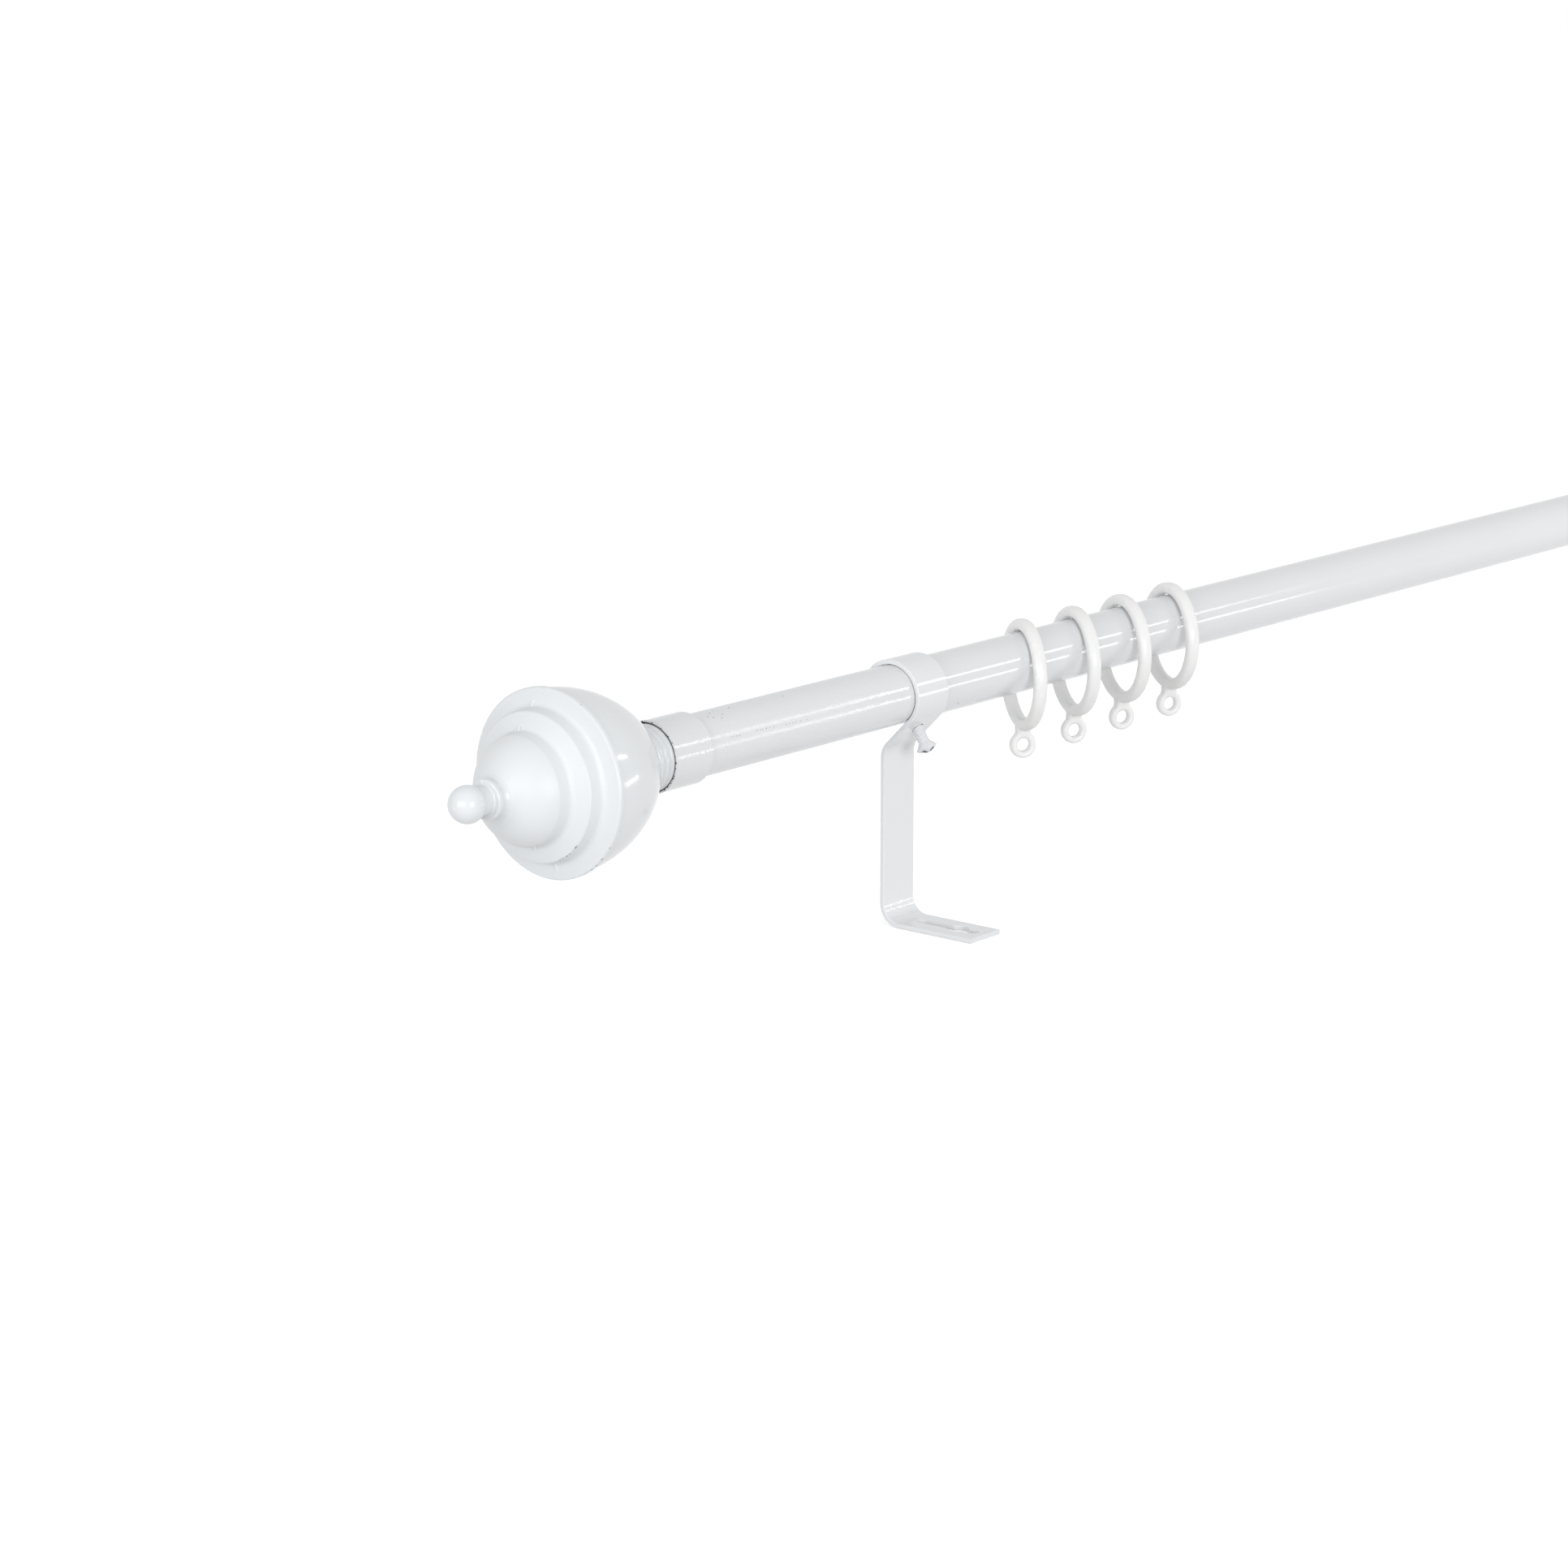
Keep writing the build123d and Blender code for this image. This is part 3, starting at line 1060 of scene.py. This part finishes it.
@dataclass
class Finial:
    """A stepped finial with a ball tip, chipped and nicked where the left one has been handled.

    An edge is given by its step out from the back shoulder and its radius. A scrap of flash is given by its
    two ends in the same way, in millimetres, and a seam by its angle in degrees from the front.
    """

    end: End
    enamel: Enamel
    rim: Pair = (36.6 * MM, 29.0 * MM)
    rim_back: Pair = (35.2 * MM, 28.9 * MM)
    tier: Pair = (42.8 * MM, 22.8 * MM)
    dome: Pair = (49.3 * MM, 16.6 * MM)
    crease: Pair = (59.4 * MM, 6.5 * MM)
    groove: Pair = (-0.3 * MM, 9.95 * MM)
    groove_reach: float = 0.6 * MM
    speck_angles: tuple[float, ...] = (62, 125)
    speck_radius: float = 0.24 * MM
    seam_above: float = 100.0
    scraps_above: tuple[tuple[Pair, Pair], ...] = (
        ((38.9, 23.4), (37.6, 25.4)),
        ((45.9, 17.2), (44.8, 18.9)),
        ((63.9, 4.5), (63.9, 6.0)),
    )
    seam_below: float = -80.5
    scraps_below: tuple[tuple[Pair, Pair], ...] = (
        ((38.2, 23.9), (37.4, 26.4)),
        ((45.9, 17.2), (45.1, 18.3)),
    )
    nick_width: float = 0.36 * MM
    nick_height: float = 0.5 * MM
    nick_taper: Point = (0.4, 0.8, 1.0)

    @property
    def node(self) -> str:
        """The finial's name in the frame."""
        return f"finial_{self.end.value}"

    def shoulder(self) -> float:
        """X of the back shoulder, where the thread ends."""
        return joint_named(f"{self.node}_turn")["pos_m"][0]

    def ring_edge(self, edge: Pair) -> Pair:
        """Give an edge's X and radius from its step out and radius."""
        return self.shoulder() + self.end.outward * edge[0], edge[1]

    def build(self) -> None:
        """Dress the finial, and leave flash on the seam of the left one."""
        edges = (self.rim, self.rim_back, self.tier, self.dome, self.crease, self.groove)
        rim, back, tier, dome, crease, groove = (self.ring_edge(edge) for edge in edges)
        # Painted shade in the crease where the neck meets the bowl's back shoulder: an unbroken dark band in the
        # bare coat's colour, standing for paint that did not reach in and for the shade that falls there.
        groove_shade_and_bare = EdgeChipsAndCreaseShade(
            groove, middle=0, spread=FULL_SECTOR, reach=self.groove_reach, chip_level=UNBROKEN
        )
        wear: list[Wear] = [groove_shade_and_bare]
        if self.end is End.LEFT:
            wear += [
                EdgeChipsAndCreaseShade(rim, middle=-46, spread=18, reach=0.42 * MM, chip_level=0.57),
                EdgeChipsAndCreaseShade(back, middle=-22, spread=26, reach=0.30 * MM, chip_level=0.50),
                EdgeChipsAndCreaseShade(tier, middle=-54, spread=16, reach=0.36 * MM, chip_level=0.53),
                EdgeChipsAndCreaseShade(dome, middle=-74, spread=18, reach=0.36 * MM, chip_level=0.53),
                Specks(tuple(around_rod(*rim, angle) for angle in self.speck_angles), self.speck_radius),
            ]
        steps = Dulled(rim[0], crease[0])
        material = self.enamel.material(f"{self.node}_enamel", wear, dulled=[steps])
        dress(frame["nodes"][self.node], material)
        if self.end is End.LEFT:
            self.leave_flash(material)

    def leave_flash(self, material: bpy.types.Material) -> None:
        """Model the scraps of flash that the mould's two halves left across the steps.

        Args:
            material: the finial's finish.
        """
        seams = ((self.seam_above, self.scraps_above), (self.seam_below, self.scraps_below))
        flash = joined([self.blade(*scrap, angle) for angle, scraps in seams for scrap in scraps])
        flash.name = f"mould_flash_{self.end.value}"
        modified(flash, "BEVEL", width=self.nick_width / 4, segments=2)
        smoothed(flash)
        carried(flash, self.node, material)

    def blade(self, start: Pair, end: Pair, angle: float) -> bpy.types.Object:
        """Model one scrap of flash along a line in a plane through the rod's axis.

        Args:
            start: step out and radius of one end, in millimetres.
            end: step out and radius of the other.
            angle: where the plane stands, in degrees from the front.

        Returns:
            The scrap in its place.
        """
        ends = [around_rod(*self.ring_edge((out * MM, radius * MM)), angle) for out, radius in (start, end)]
        way = ends[1] - ends[0]
        scrap = block("flash_scrap", (self.nick_width, way.length, self.nick_height))
        with editing(scrap, lambda point: point.z > 0):
            bpy.ops.transform.resize(value=self.nick_taper)
        ahead = way.normalized()
        aside = ahead.cross(self.end.outward * ALONG_ROD).normalized()
        turn = Matrix((aside, ahead, aside.cross(ahead))).transposed().to_4x4()
        put(scrap, Matrix.Translation((ends[0] + ends[1]) / 2) @ turn)
        return scrap


@dataclass
class Bracket:
    """A bent strip with a hook, an arm and a slotted foot.

    A dot by the screw's hole is given in millimetres along the rod and across it, from the hole's middle.
    """

    end: End
    enamel: Enamel
    # The hook's inner face is darkened below the top of the rod: painted shade in the gap against the tube, where
    # bare metal is also taken to show.
    bare_and_shaded_inside: float = 10.16 * MM
    bare_and_shade_fade: float = 0.05 * MM
    undarkened_top: float = 8.0 * MM
    strip_face: float = 11.65 * MM
    hole_dots: tuple[Pair, ...] = ((-2.45, 0.5), (2.3, 0.9), (-1.9, -1.6))
    dot_radius: float = 0.45 * MM
    heel_up: float = 8.0 * MM
    heel_front: float = 4.4 * MM
    pimple_reach: float = 11 * MM

    @property
    def node(self) -> str:
        """The bracket's name in the frame."""
        return f"bracket_{self.end.value}"

    def build(self) -> None:
        """Dress the bracket."""
        low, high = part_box(self.node)
        heel = Vector(((low.x + high.x) / 2, self.heel_front - self.heel_up, self.heel_up))
        wear: list[Wear] = [BareBoreAndGapShade(self.bare_and_shaded_inside, self.bare_and_shade_fade, self.undarkened_top)]
        if self.end is End.LEFT:
            wear.append(Specks(self.round_the_screw(), self.dot_radius))
        pimples = [Pimples(heel, self.pimple_reach)]
        dress(frame["nodes"][self.node], self.enamel.material(f"{self.node}_enamel", wear, pimples))

    def round_the_screw(self) -> tuple[Vector, ...]:
        """Find where the paint broke round the clamp screw's hole.

        Returns:
            The places on the strip's outer face.
        """
        joint = joint_named(f"clamp_screw_{self.end.value}_turn")
        axis = Vector(joint["axis"])
        middle = Vector(joint["pos_m"]) + axis * self.strip_face
        across = axis.cross(ALONG_ROD)
        return tuple(middle + ALONG_ROD * (x * MM) + across * (y * MM) for x, y in self.hole_dots)


@dataclass
class ClampScrew:
    """A raised countersunk machine screw with its thread and cross recess, painted over.

    Heights are along the screw from the point on its axis that is nearest the rod's. The thread's crest
    starts and ends at shares of its pitch.
    """

    end: End
    enamel: Enamel
    tip: float = 10.3 * MM
    cone: float = 17.8 * MM
    edge: float = 19.7 * MM
    crown: float = 21.2 * MM
    crest: float = 2.0 * MM
    root: float = 1.6 * MM
    pitch: float = 0.8 * MM
    crest_start: float = 0.36
    crest_end: float = 0.64
    turn_steps: int = 40
    head: float = 3.6 * MM
    dome_steps: int = 8
    recess_span: float = 3.8 * MM
    recess_slot: float = 1.0 * MM
    recess_depth: float = 1.7 * MM
    recess_taper: Point = (0.5, 0.7, 1.0)
    chip_span: float = 5.4 * MM
    chip_slot: float = 1.0 * MM
    softening: float = 0.12 * MM
    sharp_angle: float = 40.0

    @property
    def node(self) -> str:
        """The screw's name in the frame."""
        return f"clamp_screw_{self.end.value}"

    def place(self) -> Matrix:
        """Find the screw's own frame.

        Returns:
            Its place and turn, with Z towards the screw's head.
        """
        joint = joint_named(f"{self.node}_turn")
        axis = Vector(joint["axis"])
        turn = Matrix((ALONG_ROD, axis.cross(ALONG_ROD), axis)).transposed().to_4x4()
        return Matrix.Translation(joint["pos_m"]) @ turn

    def build(self) -> None:
        """Model the screw in place of its plain solid."""
        screw = joined([self.shank(), self.countersunk_head()])
        put(screw, self.place())
        smoothed(screw, self.sharp_angle)
        wear: list[Wear] = []
        if self.end is End.LEFT:
            axis = self.place().to_3x3().col[2]
            crown = self.place() @ Vector((0, 0, self.crown))
            wear = [ChippedRecess(crown, axis, self.chip_span, self.chip_slot, self.recess_depth)]
        carried(screw, self.node, self.enamel.material(f"{self.node}_enamel", wear))
        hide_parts(self.node)

    def shank(self) -> bpy.types.Object:
        """Model the threaded shank.

        Returns:
            The shank, standing on its tip.
        """
        start = self.tip - 2 * self.pitch
        crests = ((self.crest_start, self.crest), (self.crest_end, self.crest))
        ridge = ((0.0, self.root), *crests, (1.0, self.root))
        line = [Vector((radius, 0, start + step * self.pitch)) for step, radius in ridge]
        shank = drawn_line(f"{self.node}_threaded", line)
        modified(
            shank,
            "SCREW",
            axis="Z",
            angle=FULL_TURN,
            screw_offset=self.pitch,
            iterations=math.ceil((self.cone - start) / self.pitch) + 2,
            steps=self.turn_steps,
            render_steps=self.turn_steps,
        )
        weld(shank)
        for height, below in ((self.tip, True), (self.cone + self.pitch / 2, False)):
            with editing(shank):
                bpy.ops.mesh.bisect(
                    plane_co=(0, 0, height),
                    plane_no=(0, 0, 1),
                    use_fill=True,
                    clear_inner=below,
                    clear_outer=not below,
                )
        weld(shank)
        return shank

    def countersunk_head(self) -> bpy.types.Object:
        """Model the head with its cross recess.

        Returns:
            The head, above the shank.
        """
        rise = self.crown - self.edge
        radius = (self.head**2 + rise**2) / (2 * rise)
        sweep = math.asin(self.head / radius)
        turns = [sweep * step / self.dome_steps for step in range(self.dome_steps, -1, -1)]
        foot = self.cone - self.pitch
        sides = [(0, foot), (self.root, foot), (self.crest, self.cone)]
        dome = [(radius * math.sin(turn), self.crown - radius * (1 - math.cos(turn))) for turn in turns]
        head = drawn_line(f"{self.node}_head", [Vector((x, 0, z)) for x, z in sides + dome])
        spun(head, (0, 0, 1), self.turn_steps)
        for turn in (0, math.pi / 2):
            bar = block("recess_bar", (self.recess_span, self.recess_slot, 2 * self.recess_depth))
            with editing(bar, lambda point: point.z < 0):
                bpy.ops.transform.resize(value=self.recess_taper)
            put(bar, Matrix.Translation((0, 0, self.crown)) @ Matrix.Rotation(turn, 4, "Z"))
            cut(head, bar)
        weld(head)
        modified(head, "BEVEL", width=self.softening, segments=2, limit_method="ANGLE")
        return head


@dataclass
class CurtainRings:
    """The hanging rings, each moulded in one piece with its eyelet."""

    plastic: MilkyPlastic
    count: int = 4
    hoop_middle: float = 17.0 * MM
    hoop_width: float = 4.7 * MM
    hoop_height: float = 4.1 * MM
    hoop_steps: int = 128
    eyelet_middle: float = 3.45 * MM
    eyelet_width: float = 3.8 * MM
    eyelet_height: float = 2.45 * MM
    eyelet_steps: int = 64
    eyelet_below: float = 24.3 * MM
    web_size: Point = (5.0 * MM, 4.2 * MM, 4.2 * MM)
    web_below: float = 19.5 * MM
    web_round: float = 0.9 * MM
    section_points: int = 28
    squareness: float = 2.6
    grain: float = 0.22 * MM
    smoothing_rounds: int = 60
    smoothing_share: float = 0.5

    def build(self) -> None:
        """Model one ring and hang a copy of it at each eyelet."""
        material = self.plastic.material("ring_plastic")
        pattern = self.moulding()
        for index in range(1, self.count + 1):
            node = f"curtain_ring_{index}"
            mount = mount_named(f"eyelet_{index}")
            ring = copied(pattern, f"{node}_moulded")
            eyelet, bore = Vector(mount["pos_m"]), mount["axis"]
            turn = Matrix.Rotation(math.atan2(bore[0], -bore[1]), 4, "Z")
            put(ring, Matrix.Translation(eyelet + Vector((0, 0, self.eyelet_below))) @ turn)
            carried(ring, node, material)
            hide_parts(node)
        bpy.data.objects.remove(pattern)

    def moulding(self) -> bpy.types.Object:
        """Model one ring about the X axis, with its eyelet below it.

        Returns:
            The ring, centred on the origin.
        """
        hoop_section = (self.hoop_middle, self.hoop_width, self.hoop_height)
        hoop = self.loop("ring_pattern", *hoop_section, self.hoop_steps)
        eyelet_section = (self.eyelet_middle, self.eyelet_width, self.eyelet_height)
        eyelet = self.loop("ring_eyelet", *eyelet_section, self.eyelet_steps)
        down = Matrix.Translation((0, 0, -self.eyelet_below))
        put(eyelet, down @ Matrix.Rotation(math.pi / 2, 4, "Z"))
        web = block("ring_web", self.web_size)
        modified(web, "BEVEL", width=self.web_round, segments=3)
        put(web, Matrix.Translation((0, 0, -self.web_below)))
        ring = joined([hoop, eyelet, web])
        modified(ring, "REMESH", mode="VOXEL", voxel_size=self.grain, use_smooth_shade=True)
        modified(ring, "SMOOTH", factor=self.smoothing_share, iterations=self.smoothing_rounds)
        return ring

    def loop(self, name: str, middle: float, width: float, height: float, steps: int) -> bpy.types.Object:
        """Spin a rounded section round the X axis.

        Args:
            name: the new piece's name.
            middle: radius of the section's middle.
            width: the section's size along the axis.
            height: its size across the axis.
            steps: how many steps the turn takes.

        Returns:
            The loop, centred on the origin.
        """

        def bulge(value: float) -> float:
            """Push a circle's coordinate out towards a rounded square."""
            return math.copysign(abs(value) ** (2 / self.squareness), value)

        turns = [FULL_TURN * point / self.section_points for point in range(self.section_points + 1)]
        section = [
            Vector((width / 2 * bulge(math.cos(turn)), 0, middle + height / 2 * bulge(math.sin(turn))))
            for turn in turns
        ]
        loop = drawn_line(name, section)
        spun(loop, ALONG_ROD, steps)
        return loop


@dataclass(frozen=True)
class Lamp:
    """A soft lamp that faces a point of the rod."""

    name: str
    place: Point
    aim: Point
    width: float
    height: float
    radiance: float
    shape: LampShape = LampShape.BOX

    def build(self) -> None:
        """Set the lamp up."""
        clear_hands()
        bpy.ops.object.light_add(type="AREA", location=self.place)
        lamp = bpy.context.object
        lamp.name = self.name
        lamp.rotation_euler = (Vector(self.aim) - Vector(self.place)).to_track_quat("-Z", "Y").to_euler()
        lamp.data.shape = self.shape.value
        lamp.data.size = self.width
        lamp.data.size_y = self.height
        lamp.data.energy = self.radiance * math.pi * self.width * self.height
        lamp.visible_camera = False
        log.info("lamp %s set up", self.name)


@dataclass
class Studio:
    """The floor, the light and the camera."""

    floor_drop: float = 0.1 * MM
    floor_size: float = 60.0
    floor_colour: Colour = (0.70, 0.70, 0.70)
    floor_glow: float = 0.58
    ambient: float = 0.60
    camera_place: Point = (-1.5458, -0.8308, 0.3636)
    camera_heading: float = -50.33
    camera_pitch: float = 13.21
    camera_lens: float = 96.9
    camera_sensor: float = 36.0
    camera_reach: float = 200.0

    def build(self) -> None:
        """Set up everything round the object."""
        self.lay_floor()
        self.light_world()
        self.hang_lamps()
        self.set_camera()

    def hang_lamps(self) -> None:
        """Hang the lamps that the gloss mirrors."""
        finial = (-0.66, 0.0, ROD_HEIGHT)
        far = (1.64, 0.0, ROD_HEIGHT)
        near = (0.20, 0.0, ROD_HEIGHT)
        for lamp in (
            Lamp(
                "front_box",
                (-1.43, -2.44, 0.57),
                finial,
                width=1.2,
                height=1.2,
                radiance=4.7,
                shape=LampShape.ROUND,
            ),
            Lamp("left_wall", (-3.4, -0.4, 0.5), finial, width=2.6, height=2.0, radiance=2.5),
            Lamp("high_strip", (1.64, -1.50, 0.90), far, width=0.90, height=0.17, radiance=8.0),
            Lamp("low_strip", (0.20, -0.51, 0.024), near, width=0.54, height=0.042, radiance=8.0),
        ):
            lamp.build()

    def lay_floor(self) -> None:
        """Lay the pale floor under the feet."""
        clear_hands()
        bpy.ops.mesh.primitive_plane_add(size=self.floor_size, location=(0, 0, -self.floor_drop))
        floor = added("studio_floor")
        material = new_material("studio_floor")
        sheet = Sheet(material.node_tree)
        matt = sheet.node("ShaderNodeBsdfDiffuse", inputs={"Color": (*self.floor_colour, 1.0)})
        glow = sheet.node("ShaderNodeEmission", inputs={"Strength": sheet.seen() * self.floor_glow})
        both = sheet.node("ShaderNodeAddShader", inputs={0: matt.outputs[0], 1: glow.outputs[0]})
        sheet.node("ShaderNodeOutputMaterial", inputs={"Surface": both.outputs[0]})
        dress(floor, material)

    def light_world(self) -> None:
        """Surround the set with even light that looks white to the eye."""
        world = bpy.data.worlds.new("studio")
        bpy.context.scene.world = world
        world.use_nodes = True
        sheet = Sheet(world.node_tree)
        strength = self.ambient + sheet.seen() * (1 - self.ambient)
        sky = sheet.node("ShaderNodeBackground", inputs={"Color": (1, 1, 1, 1), "Strength": strength})
        sheet.node("ShaderNodeOutputWorld", inputs={"Surface": sky.outputs[0]})

    def set_camera(self) -> None:
        """Stand the camera at the photograph's viewing angle."""
        clear_hands()
        turn = (math.radians(90 - self.camera_pitch), 0, math.radians(self.camera_heading))
        bpy.ops.object.camera_add(location=self.camera_place, rotation=turn)
        camera = bpy.context.object
        camera.name = "camera"
        camera.data.sensor_width = self.camera_sensor
        camera.data.lens = self.camera_lens
        camera.data.clip_end = self.camera_reach
        bpy.context.scene.camera = camera
        bpy.context.scene.view_settings.view_transform = "Standard"


def main() -> None:
    """Dress the set piece by piece, then set up the studio."""
    logging.basicConfig(level=logging.INFO, format="%(name)s: %(message)s")
    enamel = Enamel()
    # Painted light: the finials' and the strips' enamels are lighter copies of the same white paint, standing in
    # for the brighter light on them; the finials' chip colour is the moulding's own darker body.
    moulding = Enamel(colour=(0.800, 0.823, 0.843), shade=(0.782, 0.802, 0.820), bare=(0.17, 0.16, 0.155))
    strip = Enamel(colour=(0.832, 0.845, 0.864), shade=(0.812, 0.824, 0.842))
    Rod(enamel).build()
    for end in End:
        Ferrule(end, enamel).build()
        Finial(end, moulding).build()
        Bracket(end, strip).build()
        ClampScrew(end, strip).build()
    CurtainRings(MilkyPlastic()).build()
    Studio().build()


if __name__ == "__main__":
    main()
